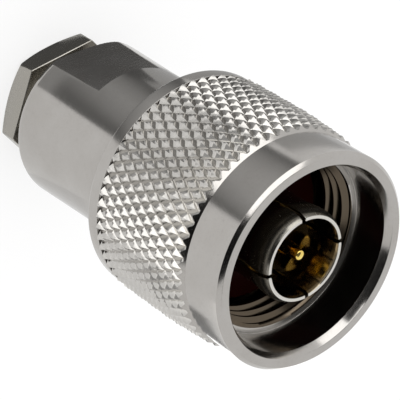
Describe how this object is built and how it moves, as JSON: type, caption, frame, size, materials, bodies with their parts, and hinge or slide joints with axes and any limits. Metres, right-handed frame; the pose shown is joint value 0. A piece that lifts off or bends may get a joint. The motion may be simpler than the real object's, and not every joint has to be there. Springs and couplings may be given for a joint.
{
  "type": "n type connector",
  "caption": "Male N type coaxial clamp plug with a diamond-knurled coupling nut, a slotted contact sleeve, a centre pin and a hexagonal clamp nut.",
  "frame": {"origin": "on the plug's axis, in the plane of the clamp nut's rear face, on which it stands", "axes": "+Z along the axis from the cable end to the mating end; the body's wrench flats face +Y and -Y"},
  "size_m": [0.0212, 0.0212, 0.037],
  "materials": {
    "nickel_plate": "bright nickel plate over turned brass",
    "gold_plate": "polished gold plate",
    "spring_bronze": "plain spring bronze",
    "red_silicone": "dark red silicone, satin",
    "black_rubber": "black rubber, matt",
    "white_ptfe": "white PTFE, turned"
  },
  "bodies": {
    "plug": {"plug_body": "nickel_plate", "contact_sleeve": "nickel_plate", "mating_gasket": "red_silicone", "contact_pin": "gold_plate", "front_insulator": "white_ptfe", "rear_insulator": "white_ptfe", "nut_retaining_ring": "spring_bronze"},
    "coupling": {"coupling_nut": "nickel_plate"},
    "clamp_stack": {"pressure_washer": "nickel_plate", "cable_seal": "black_rubber", "braid_clamp": "nickel_plate"},
    "clamp": {"clamp_nut": "nickel_plate"}
  },
  "joints": [
    {"name": "coupling_turn", "type": "hinge", "parent": "plug", "child": "coupling", "pos_m": [0, 0, 0.0282], "axis": [0, 0, 1], "continuous": true},
    {"name": "clamp_slide", "type": "slide", "parent": "plug", "child": "clamp_stack", "axis": [0, 0, 1], "range_m": [-0.00182, 0.0016]},
    {"name": "clamp_nut_turn", "type": "hinge", "parent": "clamp_stack", "child": "clamp", "pos_m": [0, 0, 0.003], "axis": [0, 0, 1], "range_deg": [-720, 630]}
  ],
  "couplings": [
    {"joint": "clamp_slide", "follows": "clamp_nut_turn", "m_per_rad": 0.00014437}
  ]
}
